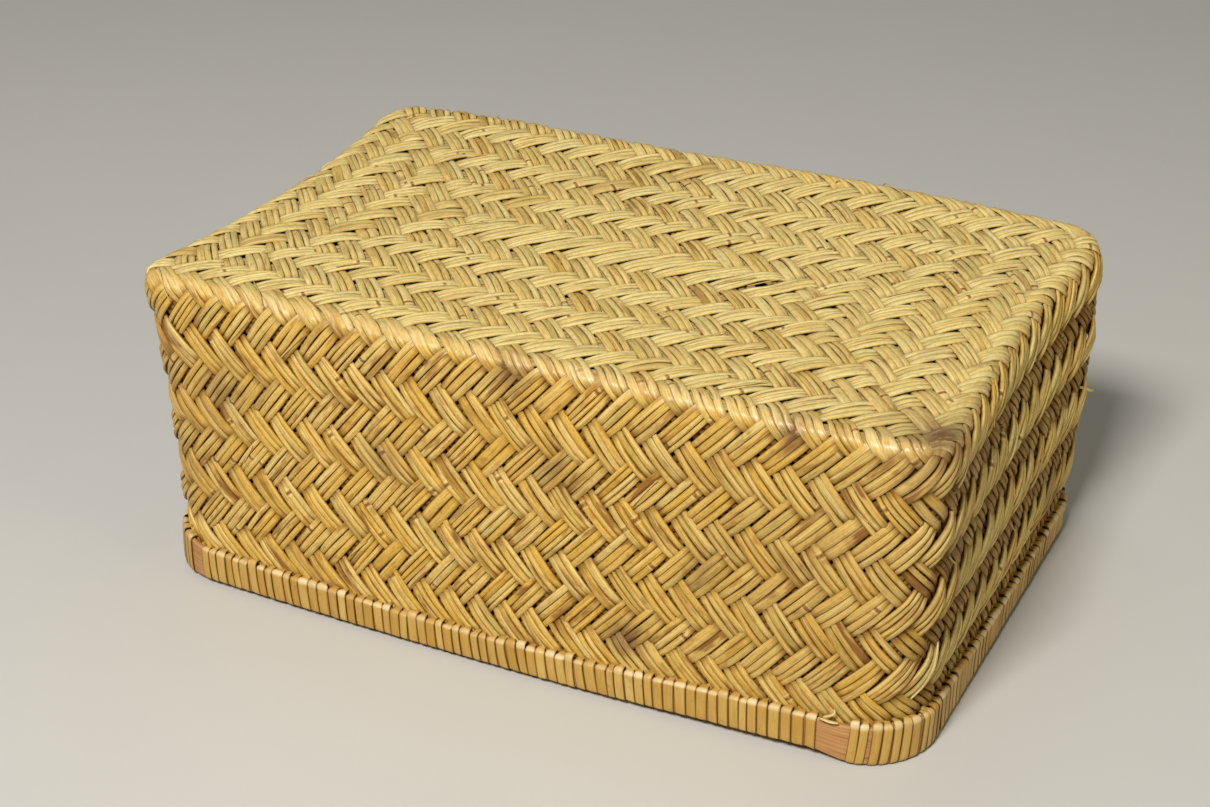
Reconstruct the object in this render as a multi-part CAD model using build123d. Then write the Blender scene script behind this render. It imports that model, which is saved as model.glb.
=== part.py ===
from build123d import *
import math
import os

os.makedirs("parts", exist_ok=True)

# Plaited storage box with a full-depth lid. Millimetres, +Z up, +X along the long side.
# The origin is on the table at the middle of the closed box. The base box stands on z = 0
# and the lid stands over it, its rim just clear of the table.

# ---- lid, outside sizes
RIM_L = 390.0        # rim, outside length
RIM_W = 253.6        # rim, outside width
RIM_H = 18.0         # height of the bound rim
RIM_R = 33.0         # rim corner radius, outside
TOP_L = 403.4        # length over the woven top, which stands out past the rim at the ends
TOP_W = 250.1
TOP_R = 28.3         # upright corner radius at the top
HEIGHT = 160.0       # table to the top of the lid
EDGE_R = 6.8         # rounding where the top turns down into the walls
LID_Z0 = 0.6         # underside of the lid's rim above the table

# ---- what a rim is built of, from outside to inside
PEEL = 0.6           # binding peel
OUTER_HOOP = 2.6
SPLINT = 1.6         # one direction of splints
GAP = 0.1            # between the pieces of one half
INNER_HOOP = 2.4
CORE_H = 2.6         # filler strand under the cut splint ends
WEAVE = 2 * SPLINT + GAP
RIM_T = PEEL + OUTER_HOOP + GAP + WEAVE + GAP + INNER_HOOP + PEEL

# ---- base box, which stands inside the lid
SLIDE = 1.2          # clearance all round between the two rims
BASE_RIM_L = RIM_L - 2 * RIM_T - 2 * SLIDE
BASE_RIM_W = RIM_W - 2 * RIM_T - 2 * SLIDE
BASE_RIM_R = RIM_R - RIM_T - SLIDE
BASE_FLOOR_L = BASE_RIM_L - 2.6   # outside of the weave at the floor
BASE_FLOOR_W = BASE_RIM_W - 4.2
BASE_FLOOR_R = 21.0
BASE_H = 150.0

# ---- bare places in the lid's binding, along the front, as x ranges
BARE_LEFT = (-176.0, -168.0)
BARE_RIGHT = (152.0, 166.3)
BUTT = 0.4           # gap where one length of peel ends and the next begins


def outline(l, w, r, z):
    """A flat rounded rectangle at height z."""
    with BuildSketch(Plane.XY.offset(z)) as s:
        RectangleRounded(l, w, max(r, 0.5))
    return s.sketch.faces()[0]


def block(l, w, r, z0, z1):
    """A straight rounded block from z0 to z1."""
    return extrude(outline(l, w, r, z0), z1 - z0)


def ring(l, w, r, d0, d1, z0, z1):
    """A straight band between the inward offsets d0 and d1 of one outline."""
    return block(l - 2 * d0, w - 2 * d0, r - d0, z0, z1) - block(
        l - 2 * d1, w - 2 * d1, r - d1, z0 - 1, z1 + 1
    )


def tub(inset, rim, top, z_cut, z_rim, height, edge, z_low):
    """The solid inside one surface of the weave: straight in the rim, then spreading up to the
    woven face, with the edge rounded. rim and top are (length, width, corner radius)."""
    rl, rw, rr = (rim[0] - 2 * inset, rim[1] - 2 * inset, rim[2] - inset)
    tl, tw, tr = (top[0] - 2 * inset, top[1] - 2 * inset, top[2] - inset)
    low = block(rl, rw, rr, z_low, z_rim)
    high = loft(
        [outline(rl, rw, rr, z_rim), outline(tl, tw, tr, height - inset)], ruled=True
    )
    solid = low + high
    rim_edges = [
        e
        for e in solid.edges()
        if abs(e.center().Z - (height - inset)) < 0.01
    ]
    return fillet(rim_edges, edge - inset)


def half(rim, top, height, edge, rim_h, z0):
    """One half with its rim down: {piece: shape}. rim and top are outside (length, width, radius)
    of the rim and of the woven face; z0 is the underside of the rim."""
    zt = z0 + rim_h
    zh0, zh1 = z0 + PEEL, zt - PEEL            # hoops
    zc1 = zh0 + CORE_H                          # core
    z_cut = zc1 + GAP                           # where the splints are cut off
    d_weave = PEEL + OUTER_HOOP + GAP
    weave_rim = (rim[0] - 2 * d_weave, rim[1] - 2 * d_weave, rim[2] - d_weave)

    def skin(a, b):
        outer = tub(a, weave_rim, top, z_cut, zt, height, edge, z_cut)
        inner = tub(b, weave_rim, top, z_cut, zt, height, edge, z_cut - 5)
        return outer - inner

    p = {}
    p["splints_rising_left"] = skin(0.0, SPLINT)
    p["splints_rising_right"] = skin(SPLINT + GAP, WEAVE)
    p["outer_hoop"] = ring(*rim, PEEL, PEEL + OUTER_HOOP, zh0, zh1)
    d_in = d_weave + WEAVE + GAP
    p["inner_hoop"] = ring(*rim, d_in, d_in + INNER_HOOP, zh0, zh1)
    p["rim_core"] = ring(*rim, d_weave, d_in - GAP, zh0, zc1)
    # the binding: up the outside, over the outer hoop to the weave, under the rim, and up the
    # inside over the inner hoop to the weave
    peel = ring(*rim, 0, RIM_T, z0, zt)
    peel -= ring(*rim, PEEL, RIM_T - PEEL, zh0, zh1)
    peel -= ring(*rim, d_weave - GAP, d_in, zh1 - 1, zt + 1)
    p["binding"] = peel
    return p


def cut(shape, x0, x1, y0, y1, z0=-50, z1=400):
    """The part of a shape inside an upright box."""
    b = Box(x1 - x0, y1 - y0, z1 - z0).move(
        Location(((x0 + x1) / 2, (y0 + y1) / 2, (z0 + z1) / 2))
    )
    return shape & b


def lengths(peel, l, w, r, bare_left=None, bare_right=None):
    """The binding as its four separately wound lengths. They change over at the middle of each
    corner, or at the bare places where there are any."""
    # a corner's middle, on the 45 degree line through the corner arc's centre
    big, g = 600.0, BUTT / 2
    cx, cy = l / 2 - r, w / 2 - r

    def wedge(sx, sy):
        """The region on the end side of the 45 degree line at a corner."""
        with BuildSketch() as s:
            with BuildLine():
                Polyline(
                    (sx * (cx + g), sy * cy),
                    (sx * (cx + big + g), sy * (cy + big)),
                    (sx * (cx + big + g), sy * cy),
                    close=True,
                )
            make_face()
        return extrude(s.sketch.faces()[0], 500).move(Location((0, 0, -100)))

    def side_y(sy):
        """Front or back: all beyond the line of the arc centres, less the two end wedges."""
        out = cut(peel, -cx - 200, cx + 200, *(sorted((sy * cy, sy * 400))))
        for sx in (-1, 1):
            with BuildSketch() as s:
                with BuildLine():
                    Polyline(
                        (sx * (cx - g), sy * (cy - 1)),
                        (sx * (cx - g), sy * cy),
                        (sx * (cx + big - g), sy * (cy + big)),
                        (sx * (cx + big), sy * (cy - 1)),
                        close=True,
                    )
                make_face()
            out -= extrude(s.sketch.faces()[0], 500).move(Location((0, 0, -100)))
        return out

    def side_x(sx):
        out = cut(peel, *(sorted((sx * cx, sx * 400))), -cy, cy)
        for sy in (-1, 1):
            out += peel & wedge(sx, sy)
        return out

    front, back, left, right = side_y(-1), side_y(1), side_x(-1), side_x(1)
    if bare_left:
        front = cut(front, bare_left[1], bare_right[0], -400, 0)
        # from the bare places the end lengths run on round the front corners
        whole = cut(peel, -cx - 200, cx + 200, -400, -cy)
        left = left + cut(whole, -400, bare_left[0], -400, 0)
        right = right + cut(whole, bare_right[1], 400, -400, 0)
    return {
        "binding_front": front,
        "binding_right": right,
        "binding_back": back,
        "binding_left": left,
    }


def one(shape):
    """The solids of a shape, as one solid or a plain compound."""
    s = shape.solids()
    return s[0] if len(s) == 1 else Compound(children=list(s))


parts = {}

# ---- lid, rim down as it stands
lid = half(
    (RIM_L, RIM_W, RIM_R), (TOP_L, TOP_W, TOP_R), HEIGHT, EDGE_R, RIM_H, LID_Z0
)
lid_peel = lid.pop("binding")
for name, shape in lid.items():
    parts["lid_" + name] = shape
for name, shape in lengths(
    lid_peel, RIM_L, RIM_W, RIM_R, BARE_LEFT, BARE_RIGHT
).items():
    parts["lid_" + name] = shape

# ---- base box: built rim down, then turned over about the X axis
base = half(
    (BASE_RIM_L, BASE_RIM_W, BASE_RIM_R),
    (BASE_FLOOR_L, BASE_FLOOR_W, BASE_FLOOR_R),
    BASE_H,
    EDGE_R,
    RIM_H,
    0.0,
)
base_peel = base.pop("binding")
base.update(lengths(base_peel, BASE_RIM_L, BASE_RIM_W, BASE_RIM_R))
turned = {"binding_front": "binding_back", "binding_back": "binding_front"}
for name, shape in base.items():
    flipped = shape.rotate(Axis.X, 180).move(Location((0, 0, BASE_H)))
    parts["base_" + turned.get(name, name)] = flipped

for name, shape in sorted(parts.items()):
    solid = one(shape)
    export_step(solid, f"parts/{name}.step")
    print(name, len(shape.solids()), round(solid.volume), solid.bounding_box().size)
print("rim thickness", RIM_T, "base rim", BASE_RIM_L, BASE_RIM_W, BASE_RIM_R)
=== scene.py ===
import math

import bpy
import numpy as np
from mathutils import Matrix, Vector


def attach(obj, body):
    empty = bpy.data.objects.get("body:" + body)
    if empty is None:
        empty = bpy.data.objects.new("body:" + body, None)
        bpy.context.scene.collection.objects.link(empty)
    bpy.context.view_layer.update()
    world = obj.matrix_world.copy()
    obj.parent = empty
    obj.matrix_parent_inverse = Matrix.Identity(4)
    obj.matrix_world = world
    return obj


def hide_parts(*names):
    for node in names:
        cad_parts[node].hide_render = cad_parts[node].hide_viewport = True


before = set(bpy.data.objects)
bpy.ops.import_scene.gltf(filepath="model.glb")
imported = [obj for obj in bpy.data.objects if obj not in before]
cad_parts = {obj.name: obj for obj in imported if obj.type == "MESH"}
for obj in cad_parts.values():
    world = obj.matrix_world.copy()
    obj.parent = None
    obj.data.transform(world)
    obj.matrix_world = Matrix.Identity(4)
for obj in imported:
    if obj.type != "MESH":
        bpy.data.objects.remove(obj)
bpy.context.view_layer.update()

# Plaited box with a full-depth lid. Each half is woven here splint by splint, on a smooth middle
# surface inside the CAD skins, and its rim is bound turn by turn. Lengths in the tables are mm.
MM = 0.001
PI = math.pi


def smooth(x, lo, hi):
    t = np.clip((x - lo) / (hi - lo), 0.0, 1.0)
    return t * t * (3 - 2 * t)


# ---------------------------------------------------------------- the middle surface of a half
class Shell:
    """One woven half with its rim down. A point of the face is (a, b) in strand pitches from the
    front left corner; a point of a wall is (u, h), u round the crest and h down from it."""

    def __init__(self, nL, nW, face, rim, height, edge, z_rim, pv, warp):
        self.nL, self.nW, self.P = nL, nW, 2 * (nL + nW)
        self.face, self.rim = face, rim  # length, width, corner radius
        self.H, self.re, self.z_rim, self.pv = height, edge, z_rim, pv
        self.warp = warp
        self.parted = []  # (a, b, how far in each family), where strands have slid apart and left a hole

    def ring(self, u, hx, hy, r):
        """A rounded rectangle of half sizes hx, hy: position and outward normal at u."""
        nL, nW = self.nL, self.nW
        u = np.mod(u, self.P)
        k = (u >= nL).astype(int) + (u >= nL + nW) + (u >= 2 * nL + nW)
        start = np.array([0, nL, nL + nW, 2 * nL + nW])[k]
        n = np.array([nL, nW, nL, nW])[k]
        even = k % 2 == 0
        along, out = np.where(even, hx, hy), np.where(even, hy, hx)
        q, flat = r * PI / 4, 2 * (along - r)
        s = (u - start) / n * (flat + 2 * q)
        ang = np.where(s < q, -(PI / 4 - s / r), np.where(s > q + flat, (s - q - flat) / r, 0.0))
        p = np.where(
            s < q,
            -(along - r) + r * np.sin(ang),
            np.where(s > q + flat, along - r + r * np.sin(ang), s - q - (along - r)),
        )
        o = out - r + r * np.cos(ang)
        pn, on = np.sin(ang), np.cos(ang)
        x = np.choose(k, [p, o, -p, -o])
        y = np.choose(k, [-o, p, o, -p])
        nx = np.choose(k, [pn, on, -pn, -on])
        ny = np.choose(k, [-on, pn, on, -pn])
        return x, y, nx, ny

    def wall(self, u, h):
        re = self.re
        s = np.maximum(h, 0) * self.pv
        phi = np.minimum(PI / 4 + s / re, PI / 2)
        z = self.H - re + re * np.cos(phi) - np.maximum(s - re * PI / 4, 0)
        ins = re * (1 - np.sin(phi))
        f = np.clip((z - self.z_rim) / (self.H - re - self.z_rim), 0, 1)
        (fl, fw, fr), (rl, rw, rr) = self.face, self.rim
        hx = (rl + (fl - rl) * f) / 2 - ins
        hy = (rw + (fw - rw) * f) / 2 - ins
        x, y, nx, ny = self.ring(u, hx, hy, rr + (fr - rr) * f - ins)
        sp = np.sin(phi)
        return np.stack([x, y, z], 1), np.stack([nx * sp, ny * sp, np.cos(phi)], 1)

    def top(self, a, b):
        nL, nW, re = self.nL, self.nW, self.re
        fl, fw, fr = self.face
        ci = re * (1 - math.sin(PI / 4))
        hx, hy, r = fl / 2 - ci, fw / 2 - ci, fr - ci

        def crest(u):
            x, y, _, _ = self.ring(np.asarray(u, float), hx, hy, r)
            return np.stack([x, y], -1)

        s, t = np.clip(a / nL, 0, 1)[:, None], np.clip(b / nW, 0, 1)[:, None]
        front, right = crest(s[:, 0] * nL), crest(nL + t[:, 0] * nW)
        back, left = crest(nL + nW + (1 - s[:, 0]) * nL), crest(2 * nL + nW + (1 - t[:, 0]) * nW - 1e-9)
        c00, c10, c11, c01 = crest([0.0, nL, nL + nW, 2 * nL + nW])
        xy = (1 - t) * front + t * back + (1 - s) * left + s * right
        xy -= (1 - s) * (1 - t) * c00 + s * (1 - t) * c10 + s * t * c11 + (1 - s) * t * c01
        q = np.abs(xy) - (np.array([fl / 2, fw / 2]) - fr)
        qp = np.maximum(q, 0)
        ln = np.linalg.norm(qp, axis=1)
        d = fr - (ln + np.minimum(q.max(1), 0))
        g = np.where((ln > 1e-6)[:, None], qp / np.maximum(ln, 1e-6)[:, None],
                     np.where(q[:, :1] > q[:, 1:], [1.0, 0.0], [0.0, 1.0])) * np.sign(xy)
        e = np.clip(re - d, 0, re)
        z = self.H - re + np.sqrt(np.maximum(re * re - e * e, 0))
        sp = e / re
        n = np.stack([g[:, 0] * sp, g[:, 1] * sp, np.sqrt(np.maximum(1 - sp * sp, 0))], 1)
        return np.column_stack([xy, z]), n

    def warped(self, p, n):
        """The hand-made shape: points and normals after the warp."""
        w = self.warp
        ref = np.where(np.abs(n[:, 2:3]) > 0.8, [[1.0, 0, 0]], [[0, 0, 1.0]])
        t1 = np.cross(n, ref)
        t1 /= np.linalg.norm(t1, axis=1, keepdims=True)
        t2 = np.cross(n, t1)
        q = w(p)
        d1, d2 = w(p + t1 * 0.5) - q, w(p + t2 * 0.5) - q
        m = np.cross(d1, d2)
        m /= np.linalg.norm(m, axis=1, keepdims=True)
        return q, m


# ---------------------------------------------------------------- strands
def strand(sh, fam, c, w):
    """Where a strand runs. Family 0 keeps a - b = c and w is a + b; family 1 keeps a + b = c and w
    is a - b. Off the face it goes on down a wall, round the upright corners."""
    nL, nW, P = sh.nL, sh.nW, sh.P
    if fam == 0:
        w_in, w_out = np.abs(c), np.minimum(c + 2 * nW, 2 * nL - c)
        a, b = (w + c) / 2, (w - c) / 2
        h_in, h_out = (w_in - w) / 2, (w - w_out) / 2
        u_in = np.where(c >= 0, c - h_in, c + h_in)
        u_out = np.where(c + nW <= nL, 2 * nL - c - h_out, 2 * nL - c + h_out)
    else:
        w_in, w_out = np.maximum(-c, c - 2 * nW), np.minimum(c, 2 * nL - c)
        a, b = (c + w) / 2, (c - w) / 2
        h_in, h_out = (w_in - w) / 2, (w - w_out) / 2
        u_in = np.where(c <= nW, P - c - h_in, 2 * (nL + nW) - c + h_in)
        u_out = np.where(c <= nL, c + h_out, c - h_out)
    lo, hi = w < w_in, w > w_out
    mid = ~(lo | hi)
    p, n = np.zeros((len(w), 3)), np.zeros((len(w), 3))
    if mid.any():
        p[mid], n[mid] = sh.top(a[mid], b[mid])
    if lo.any():
        p[lo], n[lo] = sh.wall(u_in[lo], h_in[lo])
    if hi.any():
        p[hi], n[hi] = sh.wall(u_out[hi], h_out[hi])
    return p, n, np.minimum(np.abs(w - w_in), np.abs(w - w_out))


def ends(sh, fam, c):
    if fam == 0:
        return abs(c), min(c + 2 * sh.nW, 2 * sh.nL - c)
    return max(-c, c - 2 * sh.nW), min(c, 2 * sh.nL - c)


def slashes(sh, fam, c):
    """Does a strand rise to the right, seen from outside, where it enters the face and leaves it?"""
    if fam == 0:
        return c >= 0, c + sh.nW <= sh.nL
    return c <= sh.nW, c > sh.nL


def states(sh, fam, c, depth):
    """+1 where the strand lies over the one that it crosses and -1 where it lies under, at every
    crossing: two over, two under, in rows that run round the box and keep turning at the crest."""
    w_in, w_out = ends(sh, fam, c)
    first, last = math.floor(w_in - 2 * depth) - 1.5, math.ceil(w_out + 2 * depth) + 1.5
    w = np.arange(first, last + 0.1)
    into, out = w - w_in, w_out - w
    k = np.floor(np.minimum(into, out) / 2 + 1e-6).astype(int)
    slash = np.where(into <= out, *slashes(sh, fam, c))
    over = np.where(slash, k % 2 == 1, k % 2 == 0)
    return w, np.where(over, 1.0, -1.0)


def wave(wj, st, rng):
    """Height above the middle surface, as a share of the full arch, four steps to a crossing."""
    same_l = np.r_[True, st[1:] == st[:-1]]
    same_r = np.r_[st[1:] == st[:-1], True]
    v = st * np.where(same_l & same_r, 1.0, np.where(same_l | same_r, 0.84, 0.72))
    v = v * (1 + 0.10 * rng.standard_normal(len(v)).clip(-2, 2))
    g, h = [], []
    for i in range(len(wj) - 1):
        j = i + 1
        arch = (abs(v[i]) + abs(v[j])) / 2 * 1.17
        m = st[i] * arch if st[i] == st[j] else 0.0
        g += [wj[i], wj[i] + 0.25, wj[i] + 0.5, wj[i] + 0.75]
        if st[i] == st[j]:
            h += [v[i], v[i] * 0.35 + m * 0.65, m, v[j] * 0.35 + m * 0.65]
        else:
            h += [v[i], v[i] * 0.60, 0.0, v[j] * 0.60]
    g.append(wj[-1])
    h.append(v[-1])
    return np.array(g), np.array(h)


def ripple(rng, w, size, lo, hi):
    """A slow wander with no jumps, about +-size."""
    out = np.zeros(len(w))
    for _ in range(3):
        out += rng.normal() * np.sin(2 * PI * w / rng.uniform(lo, hi) + rng.uniform(0, 2 * PI))
    return out * size / 1.9


# a half-round splint seen end on: across, up, and how far down its flank, which sets the painted shade between splints
SECTION = np.array([
    (-0.45, -0.50, 1.0), (-0.50, -0.13, 0.85), (-0.385, 0.28, 0.32), (0.0, 0.50, 0.0),
    (0.385, 0.28, 0.32), (0.50, -0.13, 0.85), (0.45, -0.50, 1.0),
])


def weave(sh, seed, arch, splint_w, splint_t, bundle, spacing, z_cut, turn):
    """Every splint of a half: a list for each family of dicts of ring arrays, in mm."""
    rng = np.random.default_rng(seed)
    s_end = (sh.H - sh.re - z_cut + sh.re * PI / 4) / sh.pv
    made = ([], [])
    ident = 0
    for fam in (0, 1):
        lows = range(-sh.nW, sh.nL) if fam == 0 else range(0, sh.nL + sh.nW)
        for i in lows:
            c0 = i + 0.5
            wj, st = states(sh, fam, c0, s_end)
            gw, gh = wave(wj, st, rng)
            w_in, w_out = ends(sh, fam, c0)
            w = np.arange(math.ceil((w_in - 2 * s_end) * 4), math.floor((w_out + 2 * s_end) * 4) + 1) / 4
            n = int(rng.choice([2, 3, 3, 3, 3, 3, 3, 3, 3, 3, 3, 4]))
            share = 1 + 0.10 * rng.standard_normal(n).clip(-1.8, 1.8)
            share /= share.sum()
            total = bundle * (1 + 0.03 * rng.normal())
            edges = np.r_[0, np.cumsum(share)] - 0.5
            wander = ripple(rng, w, 0.036, 7, 19)
            # squeezed together where it dives, which leaves the holes at the crossings
            nip = np.exp(-((np.interp(w, gw, gh) / 0.40) ** 2))
            pinch = 1 + 0.015 * np.interp(w, gw, gh) - 0.065 * nip
            # on the short walls the splints that rise to the right stand out and the others lie back
            slash_in, slash_out = slashes(sh, fam, c0)
            slope = np.where(np.abs(w - w_in) < np.abs(w - w_out), 2 * slash_in - 1, 2 * slash_out - 1)
            slope = slope * smooth(np.maximum(w_in - w, w - w_out), 0.3, 2.0)
            strand_tone = rng.normal() * 0.35
            for j in range(n):
                ident += 1
                mid = (edges[j] + edges[j + 1]) / 2 * total / spacing
                wide = share[j] * total
                c = c0 + mid * pinch + wander + ripple(rng, w, 0.017, 2.6, 8)
                squeeze = np.zeros(len(w))
                for pa, pb, by in sh.parted:
                    pc, pw = (pa - pb, pa + pb) if fam == 0 else (pa + pb, pa - pb)
                    off = c0 + mid - pc
                    near = np.exp(-(off**2) - ((w - pw) / 0.8) ** 2)
                    c = c + math.copysign(by[fam], off) * near
                    squeeze += near
                p, nr, crest = strand(sh, fam, c, w)
                up = nr[:, 2].copy()
                # the floats lie flat over the crest and stand out most on the short sides
                side_on = nr[:, 0] ** 2
                gain = (1 + 0.55 * side_on) * (0.66 + 0.34 * smooth(crest, 0.1, 1.3))
                gain *= 1 + ripple(rng, w, 0.13, 2.4, 6).clip(-0.35, 0.35)
                p, nr = sh.warped(p, nr)
                for _ in range(2):
                    p[1:-1] = p[1:-1] * 0.5 + (p[:-2] + p[2:]) * 0.25
                    nr[1:-1] = nr[1:-1] * 0.5 + (nr[:-2] + nr[2:]) * 0.25
                nr /= np.linalg.norm(nr, axis=1, keepdims=True)
                # the splints of a strand don't all dive at the same place
                hgt = np.interp(w + rng.normal() * 0.06 + ripple(rng, w, 0.07, 5, 12), gw, gh)
                damp = 0.60 + 0.40 * smooth(p[:, 2], sh.z_rim + 0.5, sh.z_rim + 9)
                lift = hgt * arch * damp * gain + (ripple(rng, w, 0.15, 3, 9) + rng.normal() * 0.06) * damp
                lift = lift + np.where(slope > 0, 0.5, 0.8) * slope * side_on * damp
                p = p + nr * lift[:, None]
                t = np.gradient(p, axis=0)
                step = np.linalg.norm(t, axis=1)
                t /= step[:, None]
                nr -= t * np.sum(nr * t, 1)[:, None]
                nr /= np.linalg.norm(nr, axis=1, keepdims=True)
                side = np.cross(t, nr)
                roll = mid * (1 if fam == 0 else -1) * (0.12 + 0.24 * hgt) + ripple(rng, w, 0.085, 2.5, 7)
                upv = nr * np.cos(roll)[:, None] + side * np.sin(roll)[:, None]
                side = side * np.cos(roll)[:, None] - nr * np.sin(roll)[:, None]
                run = np.r_[0, np.cumsum((step[1:] + step[:-1]) / 2)]
                # the joints of the cane: a slight swelling and a brown ring
                joint = np.zeros(len(w))
                at = rng.uniform(20, 330)
                while at < run[-1]:
                    near = run[np.argmin(np.abs(run - at))]
                    joint = np.maximum(joint, np.exp(-(((run - near) / 2.1) ** 2)))
                    at += rng.uniform(150, 360)
                # bent over the crest, a splint spreads and flattens
                fold = np.exp(-((crest / 0.60) ** 2))
                wid = wide * (1 + ripple(rng, w, 0.05, 3, 12)) * (1 + 0.09 * joint) * (0.985 - 0.09 * side_on) * (1 - 0.04 * nip)
                wid = wid * (1 + 0.10 * fold) * (1 - 0.24 * squeeze)
                thk = splint_t * (1 + ripple(rng, w, 0.05, 4, 12)) * (1 + 0.17 * joint) * (1 - np.maximum(0.36 * fold, 0.24 * up))
                made[fam].append({
                    "p": p, "side": side, "up": upv, "wid": wid, "thk": thk, "run": run + rng.uniform(0, 3000),
                    "id": ident, "tone": strand_tone + rng.normal() * 0.6, "hue": rng.normal() + 0.4 * fam,
                    "stain": rng.uniform() ** 2, "joint": joint, "strand": i,
                    # on the short walls top is raised where the splints stand out, painting them paler as lit, and dive
                    # is lowered where they lie back, painting them darker as shade
                    "top": up * (0.68 if fam else 1.06) + 0.34 * side_on * np.maximum(slope, 0),
                    "dive": hgt + 1.05 * side_on * np.minimum(slope, 0), "fold": fold,
                })
    return made


def sliver(points, out, wide, thick, tone, ident):
    """A loose splinter: a thin strip through a few points in mm, tapering to both ends."""
    points = np.array(points, float)
    at = np.arange(len(points))
    m = 6 * (len(points) - 1) + 1
    t = np.linspace(0, at[-1], m)
    p = np.stack([np.interp(t, at, points[:, i]) for i in range(3)], 1)
    for _ in range(14):
        p[1:-1] = p[1:-1] * 0.5 + (p[:-2] + p[2:]) * 0.25
    tg = np.gradient(p, axis=0)
    step = np.linalg.norm(tg, axis=1)
    tg /= step[:, None]
    nr = np.array(out, float)[None] - tg * (tg @ np.array(out, float))[:, None]
    nr /= np.linalg.norm(nr, axis=1, keepdims=True)
    one = np.ones(m)
    taper = 0.25 + 0.75 * np.sin(PI * np.linspace(0.06, 0.94, m)) ** 0.6
    return {
        "p": p, "side": np.cross(tg, nr), "up": nr, "wid": wide * taper, "thk": thick * one,
        "run": np.cumsum(step) + 40 * ident, "id": 900 + ident, "tone": tone, "hue": 0.0, "stain": 0.3,
        "top": one * 0.6, "joint": one * 0, "dive": one, "fold": one * 0, "strand": -99,
    }


def frays(sh, seed, count, lift):
    """Fibres that have come loose from the skin of a float and lie along it."""
    rng = np.random.default_rng(seed)
    out = []
    while len(out) < count:
        fam = int(rng.integers(0, 2))
        c0 = (rng.integers(-sh.nW, sh.nL) if fam == 0 else rng.integers(0, sh.nL + sh.nW)) + 0.5
        wj, st = states(sh, fam, c0, 7.0)
        k = int(rng.integers(2, len(wj) - 3))
        if st[k] < 0 or st[k + 1] < 0:
            continue
        reach = rng.uniform(0.45, 0.95)
        w = wj[k] + 0.5 + np.linspace(-reach, reach, 5)
        c = c0 + rng.uniform(-0.42, 0.42) + np.linspace(-1, 1, 5) * rng.normal() * 0.07
        p, nr, _ = strand(sh, fam, c, w)
        p, nr = sh.warped(p, nr)
        if p[:, 2].min() < sh.z_rim + 6:
            continue
        curl = np.array([0.1, 0.5, 0.7, 0.5, rng.uniform(0.0, 1.6)])
        p = p + nr * (lift + curl * 0.55)[:, None]
        out.append((fam, sliver(p, nr[2], rng.uniform(0.45, 1.0), 0.34, rng.normal() * 1.3, 10 + len(out))))
    return out


def mesh_object(name, verts, faces_by_size, attributes, uv=None, vectors=True):
    """A mesh from arrays. faces_by_size is a list of (n, k) index arrays, in the order of uv."""
    me = bpy.data.meshes.new(name)
    me.vertices.add(len(verts))
    me.vertices.foreach_set("co", np.asarray(verts, np.float32).ravel())
    loops = np.concatenate([f.ravel() for f in faces_by_size]).astype(np.int32)
    sizes = np.concatenate([np.full(len(f), f.shape[1]) for f in faces_by_size])
    me.loops.add(len(loops))
    me.loops.foreach_set("vertex_index", loops)
    me.polygons.add(len(sizes))
    me.polygons.foreach_set("loop_start", np.r_[0, np.cumsum(sizes)[:-1]].astype(np.int32))
    me.update(calc_edges=True)
    me.polygons.foreach_set("use_smooth", np.ones(len(sizes), bool))
    for key, values in attributes.items():
        values = np.asarray(values, np.float32)
        kind, field = ("FLOAT_VECTOR", "vector") if values.ndim == 2 else ("FLOAT", "value")
        me.attributes.new(key, kind, "POINT").data.foreach_set(field, values.ravel())
    if uv is not None:
        layer = me.uv_layers.new(name="OFBake")
        layer.data.foreach_set("uv", np.asarray(uv, np.float32).ravel())
    me.validate()
    me.update()
    ob = bpy.data.objects.new(name, me)
    bpy.context.scene.collection.objects.link(ob)
    return ob


def strip_uv(n_seg, aspect, margin=0.06):
    """Where each of n_seg stretches of a strip lies on the square: rows of stretches end to end.
    aspect is the girth of a stretch over its length."""
    cols = max(1, int(math.ceil(math.sqrt(n_seg * aspect))))
    rows = int(math.ceil(n_seg / cols))
    g = np.arange(n_seg)
    return (g % cols) / cols, 1.0 / cols, (g // cols + margin / 2) / rows, (1 - margin) / rows


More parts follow.
